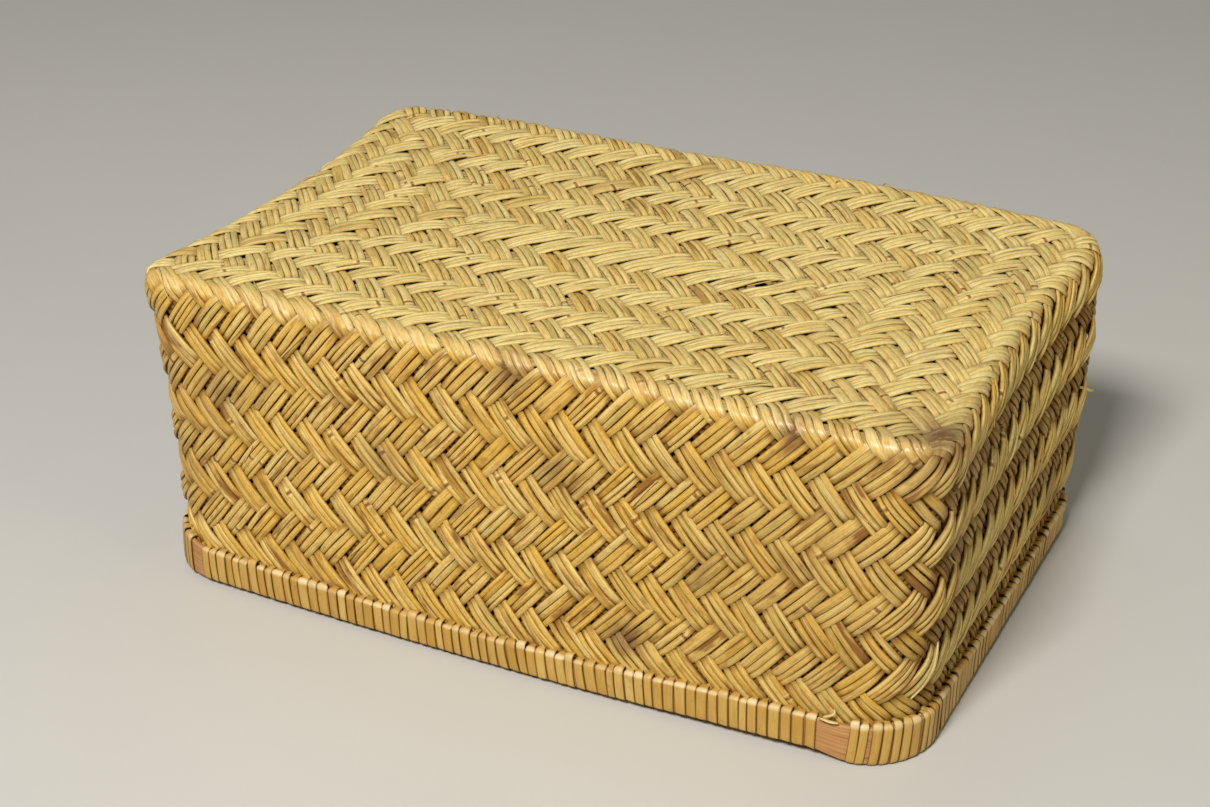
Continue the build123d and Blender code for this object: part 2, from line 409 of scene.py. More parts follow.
def splint_mesh(name, splints, turn, soiled=()):
    """One piece out of many splints. soiled lists darkened patches, stains and a few broad faint ones: centre, radius
    and strength.
    """
    k = len(SECTION)
    verts, quads, caps, grain, tint, place, dive, fold = [], [], [], [], [], [], [], []
    base = 0
    for s in splints:
        m = len(s["p"])
        across = SECTION[:, 0][None, :] * s["wid"][:, None]
        height = SECTION[:, 1][None, :] * s["thk"][:, None]
        v = s["p"][:, None, :] + s["side"][:, None, :] * across[:, :, None] + s["up"][:, None, :] * height[:, :, None]
        verts.append(turn(v.reshape(-1, 3)))
        one = np.ones((m, k))
        grain.append(np.stack([s["run"][:, None] * one * MM, across * MM, one * s["id"]], -1).reshape(-1, 3))
        tint.append(np.stack([one * s["tone"], one * s["hue"], one * s["stain"]], -1).reshape(-1, 3))
        # the flank share for the painted shade, halved where the splint folds over the crest
        place.append(np.stack([s["top"][:, None] * one, s["joint"][:, None] * one, SECTION[:, 2][None, :] * (1 - 0.5 * s["fold"])[:, None]], -1).reshape(-1, 3))
        dive.append((s["dive"][:, None] * one).ravel())
        fold.append((s["fold"][:, None] * one).ravel())
        idx = base + np.arange(m * k).reshape(m, k)
        nxt = np.roll(idx, -1, axis=1)
        q = np.stack([idx[:-1], nxt[:-1], nxt[1:], idx[1:]], -1)  # (m-1, k, 4)
        quads.append(q)
        caps += [idx[0], idx[-1][::-1]]
        base += m * k
    nseg = sum(len(q) for q in quads)
    total_caps = len(caps)
    u0, du, v0, dv = strip_uv(nseg + total_caps, 9.0 / 2.8)
    girth = np.linalg.norm((np.roll(SECTION[:, :2], -1, 0) - SECTION[:, :2]) * [3.5, 1.5], axis=1)
    # the flat underside is the face from the last corner to the first; the row is cut along it
    cum = np.r_[0, np.cumsum(girth)] / girth.sum()
    uvs, at = [], 0
    for q in quads:
        n = len(q)
        uu, vv = u0[at:at + n], v0[at:at + n]
        lo, hi = vv[:, None] + cum[:-1][None, :] * dv, vv[:, None] + cum[1:][None, :] * dv
        a, b = uu[:, None] + 0 * lo, (uu + du)[:, None] + 0 * lo
        uvs.append(np.stack([np.stack([a, lo], -1), np.stack([a, hi], -1), np.stack([b, hi], -1), np.stack([b, lo], -1)], 2).reshape(-1, 2))
        at += n
    ring = np.array([(0.5 + 0.4 * math.cos(2 * PI * i / k), 0.5 + 0.4 * math.sin(2 * PI * i / k)) for i in range(k)])
    for i in range(total_caps):
        uvs.append(np.stack([u0[at + i] + ring[:, 0] * du, v0[at + i] + ring[:, 1] * dv], -1))
    verts = np.concatenate(verts)
    soil = np.zeros(len(verts))
    for x, y, z, r, much in soiled:
        soil = np.maximum(soil, much * np.exp(-np.sum((verts - [x, y, z]) ** 2, 1) / r ** 2))
    # quads first, then the end caps
    ob = mesh_object(
        name, verts * MM,
        [np.concatenate(quads).reshape(-1, 4), np.array(caps)],
        {"grain": np.concatenate(grain), "tint": np.concatenate(tint), "place": np.concatenate(place),
         "dive": np.concatenate(dive), "fold": np.concatenate(fold), "soil": soil},
        np.concatenate(uvs),
    )
    return ob


# ---------------------------------------------------------------- rims
class Rim:
    """The bound rim of a half: a rounded rectangle seen from above, walked by length from the
    middle of its front left corner, anticlockwise."""

    def __init__(self, length, width, radius, z0, height, warp, slant=None):
        self.hx, self.hy, self.r = length / 2, width / 2, radius
        self.z0, self.z1, self.warp = z0, z0 + height, warp
        self.slant = slant or (lambda x, y: 0.6)
        q = radius * PI / 4
        self.sides = [2 * (self.hx - radius) + 2 * q, 2 * (self.hy - radius) + 2 * q] * 2
        self.total = sum(self.sides)

    def at(self, s):
        """Outline point, outward normal and tangent at the lengths s."""
        s = np.mod(np.asarray(s, float), self.total)
        bounds = np.r_[0, np.cumsum(self.sides)]
        k = np.clip(np.searchsorted(bounds, s, side="right") - 1, 0, 3)
        t = s - bounds[k]
        along, out = np.where(k % 2 == 0, self.hx, self.hy), np.where(k % 2 == 0, self.hy, self.hx)
        r, q = self.r, self.r * PI / 4
        flat = 2 * (along - r)
        ang = np.where(t < q, -(PI / 4 - t / r), np.where(t > q + flat, (t - q - flat) / r, 0.0))
        p = np.where(t < q, -(along - r) + r * np.sin(ang), np.where(t > q + flat, along - r + r * np.sin(ang), t - q - (along - r)))
        o = out - r + r * np.cos(ang)
        pn, on = np.sin(ang), np.cos(ang)
        pick = lambda a, b: (np.choose(k, [a, b, -a, -b]), np.choose(k, [-b, a, b, -a]))
        x, y = pick(p, o)
        nx, ny = pick(pn, on)
        n = np.stack([nx, ny, 0 * nx], -1)
        return np.stack([x, y, 0 * x], -1), n, np.stack([-ny, nx, 0 * nx], -1)

    def s_front(self, x):
        """The length at which the front outline passes x."""
        q, r = self.r * PI / 4, self.r
        c = self.hx - r
        if x < -c:
            return q - r * math.asin((-c - x) / r)
        if x > c:
            return q + 2 * c + r * math.asin((x - c) / r)
        return q + x + c


def band(rim, name, d0, d1, z0, z1, turn, bevel=0.5, ident=0.0):
    """A hoop or filler strand that runs all round: a closed bar with eased edges, the outer upper
    one the roundest."""
    n = int(rim.total / 2.4)
    s = np.arange(n) * rim.total / n
    o, nr, _ = rim.at(s)
    b = min(bevel, (d1 - d0) / 2.2, (z1 - z0) / 2.2)
    e = min(2.2 * b, (d1 - d0) / 2.2, (z1 - z0) / 2.2)
    zs = np.linspace(z1 - e, z0 + b, 7)
    sec = [(d0 + e, z1), (d0 + e * 0.45, z1 - e * 0.12), (d0 + e * 0.12, z1 - e * 0.45)] + [(d0, z) for z in zs] + [(d0 + b * 0.25, z0 + b * 0.3), (d0 + b, z0)]
    sec += [(d1 - b, z0), (d1 - b * 0.25, z0 + b * 0.3)] + [(d1, z) for z in zs[::-1][::3]] + [(d1 - b * 0.25, z1 - b * 0.3), (d1 - b, z1)]
    sec = np.array(sec)
    k = len(sec)
    v = o[:, None, :] - nr[:, None, :] * sec[None, :, :1]
    v[:, :, 2] = sec[None, :, 1]
    v = rim.warp(v.reshape(-1, 3))
    idx = np.arange(n * k).reshape(n, k)
    quads = np.stack([idx, np.roll(idx, -1, 1), np.roll(np.roll(idx, -1, 1), -1, 0), np.roll(idx, -1, 0)], -1)
    girth = np.linalg.norm(np.roll(sec, -1, 0) - sec, axis=1)
    cum = np.r_[0, np.cumsum(girth)] / girth.sum()
    u0, du, v0, dv = strip_uv(n, girth.sum() / 2.4)
    lo, hi = v0[:, None] + cum[:-1][None] * dv, v0[:, None] + cum[1:][None] * dv
    a = u0[:, None] + 0 * lo
    uv = np.stack([np.stack([a, lo], -1), np.stack([a, hi], -1), np.stack([a + du, hi], -1), np.stack([a + du, lo], -1)], 2)
    one = np.ones((n, k))
    grain = np.stack([s[:, None] * one * MM, (cum[:-1] * girth.sum())[None] * one * MM, one * ident], -1).reshape(-1, 3)
    return mesh_object(name, turn(v) * MM, [quads.reshape(-1, 4)], {"grain": grain}, uv.reshape(-1, 2))


def loop_section(rim, thick, outer_top, rise, rng):
    """The path of one turn of peel round the rim's section: points (depth, z), outward normals."""
    h = thick / 2
    d0, d1, z0, z1 = h, 9.7 - h, rim.z0 + h, rim.z1 - h + rise
    pts, nrm = [], []
    low = 1.9

    def arc(cx, cz, r, a0, a1, n):
        for i in range(n + 1):
            a = math.radians(a0 + (a1 - a0) * i / n)
            pts.append((cx + r * math.cos(a), cz + r * math.sin(a)))
            nrm.append((math.cos(a), math.sin(a)))

    def line(p, q, n, m):
        for i in range(1, n):
            pts.append((p[0] + (q[0] - p[0]) * i / n, p[1] + (q[1] - p[1]) * i / n))
            nrm.append(m)

    r = 1.1
    line(((d0 + d1) / 2, z0), (d0 + low, z0), 2, (0, -1))
    arc(d0 + low, z0 + low, low, 270, 180, 5)
    line((d0, z0 + low), (d0, z1 - outer_top), 5, (-1, 0))
    arc(d0 + outer_top, z1 - outer_top, outer_top, 180, 96, 5)
    line((d0 + outer_top, z1), (d1 - r, rim.z1 - h), 6, (0, 1))
    arc(d1 - r, rim.z1 - h - r, r, 90, 0, 4)
    line((d1, rim.z1 - h - r), (d1, z0 + r), 3, (1, 0))
    arc(d1 - r, z0 + r, r, 0, -90, 4)
    return np.array(pts), np.array(nrm)


# a turn of peel seen end on: across, up, and how far down its flank, which sets the painted shade at its edges
PEEL = np.array([(-0.50, -0.5, 1.0), (-0.50, 0.15, 0.9), (-0.36, 0.46, 0.45), (0.0, 0.62, 0.0),
                 (0.36, 0.46, 0.45), (0.50, 0.15, 0.9), (0.50, -0.5, 1.0)])


def binding(rim, name, s0, s1, seed, turn, pitch=4.96, gaps=None, ident0=0):
    """One length of the binding from s0 to s1: closed turns of peel side by side."""
    rng = np.random.default_rng(seed)
    gaps = gaps or {}
    room = s1 - s0 - sum(gaps.values())
    n = max(1, round(room / pitch))
    share = 1 + 0.13 * rng.standard_normal(n).clip(-1.9, 1.9)
    share = share / share.sum() * room
    k = len(PEEL)
    verts, quads, grain, tint, place, uvs = [], [], [], [], [], []
    base, at = 0, s0
    per = None
    for i in range(n):
        wide = share[i] - (0.12 + abs(rng.normal()) * 0.22)
        c = at + share[i] / 2
        at += share[i] + gaps.get(i, 0)
        rise = rng.uniform(-0.45, 1.0) + (rng.uniform(0.8, 1.9) if rng.uniform() < 0.16 else 0.0)
        pts, nrm = loop_section(rim, 0.6, 1.3 + rng.uniform(0.0, 0.5), rise, rng)
        m = len(pts)
        o, nr, tg = (x[0] for x in rim.at([c]))
        slant = rim.slant(o[0], o[1]) + rng.normal() * 0.22
        proud = abs(rng.normal()) * 0.11
        tilt = rng.normal() * 0.05
        up = np.array([0, 0, 1.0])
        outer = smooth(-pts[:, 0], -4.0, -1.0)     # 1 on the outer face, 0 on the inner one
        high = smooth(pts[:, 1], rim.z1 - 3.5, rim.z1)
        down = np.clip((rim.z1 - pts[:, 1]) / (rim.z1 - rim.z0), 0, 1)
        # the turn narrows to a blunt finger where it goes over the hoop and into the weave
        over = smooth(pts[:, 0], 0.35, 3.6) * smooth(pts[:, 1], rim.z1 - 4.0, rim.z1 - 1.0)
        narrow = rng.uniform(0.10, 0.36)
        lean = rng.choice([-1, 1, 1]) * rng.uniform(0.2, 1.0)
        wd = wide * (1 - narrow * over) * (1 + ripple(rng, np.arange(m), 0.018, 8, 20))
        shift = slant * down ** 1.5 * outer + lean * wide * narrow * 0.5 * over
        centre = o[None] - nr[None] * (pts[:, :1] - proud * outer[:, None]) + tg[None] * shift[:, None] + up[None] * pts[:, 1:]
        nvec = -nr[None] * nrm[:, :1] + up[None] * nrm[:, 1:]
        tw = tilt * outer
        tvec = tg[None] * np.cos(tw)[:, None] + nvec * np.sin(tw)[:, None]
        v = centre[:, None, :] + tvec[:, None, :] * (PEEL[None, :, :1] * wd[:, None, None]) + nvec[:, None, :] * (PEEL[None, :, 1:2] * 0.6)
        verts.append(v.reshape(-1, 3))
        seg = np.r_[0, np.cumsum(np.linalg.norm(np.diff(pts, axis=0), axis=1))]
        one = np.ones((m, k))
        grain.append(np.stack([(seg[:, None] * one + 97 * i) * MM, PEEL[None, :, 0] * wd[:, None] * MM, one * (ident0 + i)], -1).reshape(-1, 3))
        tint.append(np.stack([one * rng.normal(), one * rng.normal(), one * rng.uniform()], -1).reshape(-1, 3))
        place.append(np.stack([(high * outer)[:, None] * one, outer[:, None] * one, PEEL[:, 2][None] * one], -1).reshape(-1, 3))
        idx = base + np.arange(m * k).reshape(m, k)
        nx = np.roll(idx, -1, 1)
        quads.append(np.stack([idx, nx, np.roll(nx, -1, 0), np.roll(idx, -1, 0)], -1))
        base += m * k
        per = m
    girth = np.linalg.norm((np.roll(PEEL[:, :2], -1, 0) - PEEL[:, :2]) * [5.2, 0.6], axis=1)
    cum = np.r_[0, np.cumsum(girth)] / girth.sum()
    u0, du, v0, dv = strip_uv(n * per, girth.sum() / 1.5)
    for i in range(n):
        sl = slice(i * per, (i + 1) * per)
        lo, hi = v0[sl][:, None] + cum[:-1][None] * dv, v0[sl][:, None] + cum[1:][None] * dv
        a = u0[sl][:, None] + 0 * lo
        uvs.append(np.stack([np.stack([a, lo], -1), np.stack([a, hi], -1), np.stack([a + du, hi], -1), np.stack([a + du, lo], -1)], 2).reshape(-1, 2))
    v = rim.warp(np.concatenate(verts))
    return mesh_object(
        name, turn(v) * MM, [np.concatenate(quads).reshape(-1, 4)],
        {"grain": np.concatenate(grain), "tint": np.concatenate(tint), "place": np.concatenate(place)},
        np.concatenate(uvs),
    )


# ---------------------------------------------------------------- materials
class Graph:
    def __init__(self, name):
        self.material = bpy.data.materials.new(name)
        self.material.use_nodes = True
        self.tree = self.material.node_tree
        self.tree.nodes.clear()
        self.out = self.node("ShaderNodeOutputMaterial")
        self.shader = self.node("ShaderNodeBsdfPrincipled")
        self.link(self.shader.outputs[0], self.out.inputs["Surface"])

    def node(self, kind, **props):
        n = self.tree.nodes.new(kind)
        for k, v in props.items():
            setattr(n, k, v)
        return n

    def link(self, a, b):
        self.tree.links.new(a, b)

    def put(self, value, socket):
        if isinstance(value, bpy.types.NodeSocket):
            self.link(value, socket)
        else:
            socket.default_value = value

    def attribute(self, name, field="Vector"):
        return self.node("ShaderNodeAttribute", attribute_name=name).outputs[field]

    def split(self, vec):
        n = self.node("ShaderNodeSeparateXYZ")
        self.link(vec, n.inputs[0])
        return n.outputs

    def scaled(self, vec, by, plus=(0, 0, 0)):
        n = self.node("ShaderNodeVectorMath", operation="MULTIPLY_ADD")
        self.link(vec, n.inputs[0])
        n.inputs[1].default_value = by
        n.inputs[2].default_value = plus
        return n.outputs[0]

    def noise(self, vec, scale=1.0, detail=2.0, rough=0.5):
        n = self.node("ShaderNodeTexNoise")
        self.link(vec, n.inputs["Vector"])
        n.inputs["Scale"].default_value = scale
        n.inputs["Detail"].default_value = detail
        n.inputs["Roughness"].default_value = rough
        return n.outputs["Fac"]

    def math(self, op, a, b=0.0, clamp=False):
        n = self.node("ShaderNodeMath", operation=op, use_clamp=clamp)
        self.put(a, n.inputs[0])
        self.put(b, n.inputs[1])
        return n.outputs[0]

    def ramp(self, x, lo, hi, out_lo=0.0, out_hi=1.0):
        n = self.node("ShaderNodeMapRange", interpolation_type="SMOOTHSTEP")
        self.put(x, n.inputs["Value"])
        n.inputs["From Min"].default_value = lo
        n.inputs["From Max"].default_value = hi
        n.inputs["To Min"].default_value = out_lo
        n.inputs["To Max"].default_value = out_hi
        return n.outputs["Result"]

    def mix(self, fac, a, b, blend="MIX"):
        n = self.node("ShaderNodeMix", data_type="RGBA", blend_type=blend)
        self.put(fac, n.inputs[0])
        for v, i in ((a, 6), (b, 7)):
            self.put(v if isinstance(v, bpy.types.NodeSocket) else (*v, 1.0), n.inputs[i])
        return n.outputs[2]

    def bump(self, height, distance, strength=1.0):
        n = self.node("ShaderNodeBump")
        n.inputs["Strength"].default_value = strength
        n.inputs["Distance"].default_value = distance
        self.link(height, n.inputs["Height"])
        self.link(n.outputs[0], self.shader.inputs["Normal"])


def splint_material(name, gold, straw, olive, brown, dark):
    g = Graph(name)
    grain = g.attribute("grain")
    tone, hue, stain = g.split(g.attribute("tint"))
    top, joint, flank = g.split(g.attribute("place"))
    dive = g.attribute("dive", "Fac")
    fibre = g.noise(g.scaled(grain, (55, 3400, 9.7)), 1.0, 3.0, 0.6)
    streak = g.noise(g.scaled(grain, (22, 900, 5.3)), 1.0, 2.0, 0.5)
    blotch = g.noise(g.scaled(grain, (38, 150, 3.7), (3, 1, 0)), 1.0, 3.0, 0.6)
    patch = g.noise(g.scaled(grain, (11, 30, 2.9), (0, 7, 2)), 1.0, 2.0, 0.5)
    # from golden on the walls to straw where the surface turns up, the paler straw there partly painted sheen, with
    # each splint's own tone
    f = g.math("ADD", g.math("MULTIPLY", top, 0.70), g.math("MULTIPLY", tone, 0.21))
    f = g.math("ADD", f, g.math("MULTIPLY", g.math("SUBTRACT", patch, 0.5), 0.7))
    f = g.math("ADD", f, 0.16, clamp=True)
    col = g.mix(f, gold, straw)
    col = g.mix(g.ramp(hue, 0.6, 2.4, 0.0, 0.42), col, olive)
    # brown stains, strong on a few splints, and short orange ones
    st = g.math("MULTIPLY", g.ramp(blotch, 0.49, 0.64), g.math("ADD", g.math("MULTIPLY", stain, 1.05), 0.12))
    st = g.math("MULTIPLY", st, g.math("SUBTRACT", 1.0, g.math("MULTIPLY", top, 0.60)))
    col = g.mix(st, col, brown)
    spot = g.noise(g.scaled(grain, (95, 260, 6.1), (8, 3, 5)), 1.0, 2.0, 0.5)
    sp = g.math("MULTIPLY", g.ramp(spot, 0.57, 0.70), g.math("SUBTRACT", 0.72, g.math("MULTIPLY", top, 0.55)))
    col = g.mix(sp, col, (0.45, 0.205, 0.028))
    # a darker whole splint here and there
    col = g.mix(g.ramp(tone, -1.0, -2.2, 0.0, 0.50), col, brown)
    # fibres and fine mottling
    mottle = g.noise(g.scaled(grain, (420, 900, 4.3), (1, 6, 2)), 1.0, 3.0, 0.6)
    col = g.mix(g.ramp(mottle, 0.52, 0.36, 0.0, 0.26), col, brown)
    col = g.mix(g.ramp(fibre, 0.30, 0.56, 0.46, 0.0), col, dark)
    col = g.mix(g.ramp(streak, 0.52, 0.72, 0.0, 0.44), col, (0.90, 0.71, 0.34))
    # painted shade: the flanks of each splint and the ends that dive under a crossing strand are darkened to dark
    # brown, as in the grooves and under the floats, less where the surface turns up
    shade_eased_upward = g.math("SUBTRACT", 1.0, g.math("MULTIPLY", top, 0.50), clamp=True)
    col = g.mix(g.math("MULTIPLY", g.ramp(flank, 0.30, 0.86, 0.0, 0.68), shade_eased_upward), col, (0.125, 0.038, 0.003))
    col = g.mix(g.math("MULTIPLY", g.ramp(dive, 0.55, -0.5, 0.0, 0.78), shade_eased_upward), col, (0.125, 0.038, 0.003))
    # a joint: a rough brown ring with a pale edge
    ring = g.math("MULTIPLY", g.ramp(joint, 0.66, 0.90), g.ramp(mottle, 0.36, 0.54, 0.45, 1.0))
    col = g.mix(g.math("MULTIPLY", ring, 0.95), col, (0.20, 0.080, 0.016))
    col = g.mix(g.math("MULTIPLY", g.ramp(joint, 0.36, 0.52), g.ramp(joint, 0.70, 0.56, 0.0, 0.34)), col, (0.84, 0.66, 0.36))
    # brown with a ragged edge: stains where it has been wet or handled, and broad faint darkenings over parts of the
    # front
    soil = g.math("MULTIPLY", g.attribute("soil", "Fac"), g.ramp(g.math("ADD", blotch, g.math("MULTIPLY", mottle, 0.6)), 0.55, 0.85, 0.25, 1.0))
    col = g.mix(soil, col, (0.125, 0.052, 0.026))
    # along the crest the skin is rubbed to a tan gloss, and the pale streaks on the high fibres are a painted highlight
    crest_rub_and_sheen = g.math("MULTIPLY", g.ramp(top, 0.10, 0.45), g.ramp(top, 0.90, 0.68))
    crest_rub_and_sheen = g.math("MULTIPLY", crest_rub_and_sheen, g.ramp(g.attribute("fold", "Fac"), 0.20, 0.80))
    col = g.mix(g.math("MULTIPLY", crest_rub_and_sheen, 0.25), col, (0.72, 0.42, 0.13))
    col = g.mix(g.math("MULTIPLY", crest_rub_and_sheen, g.ramp(streak, 0.46, 0.66, 0.0, 0.45)), col, (0.88, 0.71, 0.45))
    g.link(col, g.shader.inputs["Base Color"])
    g.link(g.math("SUBTRACT", g.ramp(fibre, 0.3, 0.7, 0.48, 0.33), g.math("MULTIPLY", crest_rub_and_sheen, 0.14)), g.shader.inputs["Roughness"])
    gloss = g.math("MULTIPLY", g.ramp(flank, 0.30, 0.86, 1.0, 0.30), g.ramp(dive, 0.50, -0.2, 1.0, 0.20))
    g.link(g.math("MULTIPLY", g.math("ADD", g.math("MULTIPLY", crest_rub_and_sheen, 0.26), 0.27), gloss), g.shader.inputs["Specular IOR Level"])
    g.bump(g.math("ADD", fibre, g.math("MULTIPLY", mottle, 0.5)), 0.00018, 0.8)
    return g.material


def peel_material(name, pale, gold, brown, dark):
    g = Graph(name)
    grain = g.attribute("grain")
    tone, hue, spot = g.split(g.attribute("tint"))
    lip, outer, flank = g.split(g.attribute("place"))
    fibre = g.noise(g.scaled(grain, (40, 2600, 7.1)), 1.0, 3.0, 0.6)
    patch = g.noise(g.scaled(grain, (60, 160, 3.3), (5, 2, 0)), 1.0, 3.0, 0.55)
    f = g.math("ADD", g.math("MULTIPLY", tone, 0.27), g.math("MULTIPLY", g.math("SUBTRACT", patch, 0.5), 1.2))
    f = g.math("ADD", f, 0.40, clamp=True)
    col = g.mix(f, gold, pale)
    col = g.mix(g.math("MULTIPLY", g.ramp(patch, 0.56, 0.72), g.math("MULTIPLY", spot, 0.5)), col, brown)
    col = g.mix(g.ramp(fibre, 0.32, 0.60, 0.22, 0.0), col, dark)
    speck = g.noise(g.scaled(grain, (330, 620, 5.9), (4, 9, 1)), 1.0, 3.0, 0.6)
    col = g.mix(g.ramp(speck, 0.60, 0.74, 0.0, 0.50), col, brown)
    # painted shade at the edges of each turn, where the turns meet
    col = g.mix(g.ramp(flank, 0.4, 1.0, 0.0, 0.86), col, dark)
    # painted highlight: a pale band along the bent top edge of the outer face, stronger on some turns
    lip_highlight = g.math("MULTIPLY", g.ramp(lip, 0.45, 0.98), g.ramp(hue, -1.3, 1.1, 0.10, 0.58))
    col = g.mix(lip_highlight, col, (0.86, 0.72, 0.46))
    g.link(col, g.shader.inputs["Base Color"])
    g.link(g.ramp(fibre, 0.3, 0.7, 0.48, 0.34), g.shader.inputs["Roughness"])
    g.link(g.ramp(flank, 0.4, 1.0, 0.34, 0.08), g.shader.inputs["Specular IOR Level"])
    g.bump(fibre, 0.00012, 0.6)
    return g.material


def hoop_material(name, light, red, dark):
    g = Graph(name)
    grain = g.attribute("grain")
    fine = g.noise(g.scaled(grain, (26, 3800, 1.0)), 1.0, 3.0, 0.65)
    wide = g.noise(g.scaled(grain, (9, 900, 1.0), (2, 4, 0)), 1.0, 2.0, 0.5)
    col = g.mix(g.ramp(wide, 0.3, 0.7), red, light)
    col = g.mix(g.ramp(fine, 0.53, 0.72, 0.0, 0.65), col, (0.76, 0.50, 0.26))
    col = g.mix(g.ramp(fine, 0.48, 0.28, 0.0, 0.7), col, dark)
    g.link(col, g.shader.inputs["Base Color"])
    g.link(g.ramp(fine, 0.3, 0.7, 0.72, 0.55), g.shader.inputs["Roughness"])
    g.bump(fine, 0.00025, 0.8)
    return g.material


def plain_material(name, color, rough):
    g = Graph(name)
    geo = g.node("ShaderNodeTexCoord").outputs["Object"]
    n = g.noise(geo, 9.0, 4.0, 0.6)
    g.link(g.mix(g.ramp(n, 0.3, 0.7, 0.0, 0.06), color, tuple(c * 0.8 for c in color)), g.shader.inputs["Base Color"])
    g.shader.inputs["Roughness"].default_value = rough
    return g.material


# ---------------------------------------------------------------- the lid
RIM_X = [-196, -190, -178, -165, -100, -40, 0, 40, 100, 150, 163, 175, 196]
RIM_LOW = [0.2, 0.5, 1.0, 2.0, 2.0, 1.9, 1.8, 2.0, 3.2, 3.6, 0.9, 0.0, 0.0]
RIM_HIGH = [2.0, 3.0, 3.0, 1.2, -0.6, -1.8, -1.9, -1.1, 1.9, 2.6, 2.5, 2.5, 1.5]
SIDE_Y = [-95, -40, 0, 50, 95, 122]
SIDE_LOW = [0.2, 1.4, 2.0, 2.6, 2.2, 1.0]
SIDE_HIGH = [1.2, -0.4, -1.0, -1.4, -1.0, 0.0]


def lid_slant(x, y):
    """How far along the rim the foot of a turn of peel stands from its top, anticlockwise."""
    if y < -90:
        return float(np.interp(x, [-180, -120, -60, 0, 40, 90, 150, 160, 185], [1.3, 1.6, 0.6, 2.2, 1.9, 0.6, 0.1, -2.0, -1.8]))
    return 0.7


def lid_warp(p):
    """How the real lid has moved: short sides drawn in at the top, a sunk middle, corners left
    standing, long sides of the rim bowed out."""
    x, y, z = p[:, 0], p[:, 1], p[:, 2]
    X, Y = np.clip(x / 199.4, -1.05, 1.05), np.clip(y / 122.75, -1.05, 1.05)
    zt = np.clip((z - 9) / 148.7, 0, 1.02)
    fx, fy = np.maximum(1 - X * X, 0), np.maximum(1 - Y * Y, 0)
    q = p.copy()
    # the rim's height varies along the front: lower edge off the table, upper edge dipping midway
    t = (z - 0.6) / 18.0
    fade, front, side = 1 - smooth(z, 20.0, 36.0), smooth(-y, 60, 118), smooth(x, 140, 186)
    side = side * (1 - front)
    db = np.interp(x, RIM_X, RIM_LOW) * front + np.interp(y, SIDE_Y, SIDE_LOW) * side
    dt = np.interp(x, RIM_X, RIM_HIGH) * front + np.interp(y, SIDE_Y, SIDE_HIGH) * side
    q[:, 2] += (db * (1 - np.clip(t, 0, 1)) + dt * np.clip(t, 0, 1)) * fade
    left = np.interp(Y, [-1, -0.5, -0.15, 0.2, 0.5, 1], [0.86, 0.84, 0.86, 0.98, 0.88, 0.84])
    ends_ = fy * np.abs(X) ** 6 * np.where(x < 0, left, 1.0)
    long_ = fx * np.abs(Y) ** 6
    q[:, 0] -= np.sign(x) * 10.2 * ends_ * zt ** 1.5
    q[:, 2] -= 4.25 * ends_ * zt ** 2
    q[:, 1] += np.sign(y) * 1.3 * long_ * zt
    q[:, 2] += np.where(y > 0, 2.7, 1.3) * long_ * zt ** 2
    q[:, 2] -= 3.5 * fx * fy * smooth(zt, 0.8, 1.0)
    q[:, 1] += np.sign(y) * (3.9 * fx - 0.5 * X * X) * np.abs(Y) ** 2 * (1 - zt)
    q[:, 0] -= np.sign(x) * 0.5 * (1 - fy) * np.abs(X) ** 2 * (1 - zt)
    # the rim's back right corner is tighter, and the right side bellies out
    tight = np.clip(X, 0, 1.0) ** 10 * np.clip(Y, 0, 1.0) ** 10 * (1 - zt) ** 2 * 2.0
    q[:, 0] += tight
    q[:, 1] += tight
    f = 4 * zt * np.clip(1 - zt, 0, 1)
    f_low, f_high = f * (1.36 - 0.80 * zt), f * (0.64 + 0.72 * zt)
    q[:, 0] += 2.2 * f_low * smooth(X, 0.5, 0.95) * smooth(Y, -0.95, -0.2)
    for sx, sy, k, bend in ((-1, -1, -4.6, f_high), (1, 1, 4.9, f_low), (1, -1, -0.8, f)):
        wgt = np.clip(sx * X, 0, 1) ** 4 * np.clip(sy * Y, 0, 1) ** 4 * bend * k * 0.7071
        q[:, 0] += sx * wgt
        q[:, 1] += sy * wgt
    # hand-made unevenness, none at the rim
    amp = smooth(zt, 0.1, 0.3) * 0.55
    q[:, 0] += amp * np.sin(y / 23 + 1.3) * np.sin(z / 31 + 0.4) * np.abs(X) ** 4
    q[:, 1] += amp * np.sin(x / 29 + 0.6) * np.sin(z / 27 + 2.0) * np.abs(Y) ** 4
    q[:, 2] += amp * 1.3 * np.sin(x / 37 + 2.2) * np.sin(y / 33 + 0.9) * smooth(zt, 0.85, 1.0)
    return q


def base_warp(p):
    x, y, z = p[:, 0], p[:, 1], p[:, 2]
    X, Y = np.clip(x / 181, -1.05, 1.05), np.clip(y / 111.5, -1.05, 1.05)
    zt = np.clip((z - 9) / 139, 0, 1.02)
    fx, fy = np.maximum(1 - X * X, 0), np.maximum(1 - Y * Y, 0)
    q = p.copy()
    q[:, 0] -= np.sign(x) * 1.6 * fy * np.abs(X) ** 6 * smooth(zt, 0, 0.6)
    q[:, 1] -= np.sign(y) * 1.2 * fx * np.abs(Y) ** 6 * smooth(zt, 0, 0.6)
    q[:, 2] -= 1.2 * fx * fy * smooth(zt, 0.8, 1.0)
    amp = smooth(zt, 0.1, 0.3) * 0.45
    q[:, 0] += amp * np.sin(y / 25 + 0.3) * np.sin(z / 29 + 1.4) * np.abs(X) ** 4
    q[:, 1] += amp * np.sin(x / 27 + 1.6) * np.sin(z / 33 + 0.7) * np.abs(Y) ** 4
    return q


def upright(v):
    return v


def upside_down(v):
    return v * [1, -1, -1] + [0, 0, 150.0]


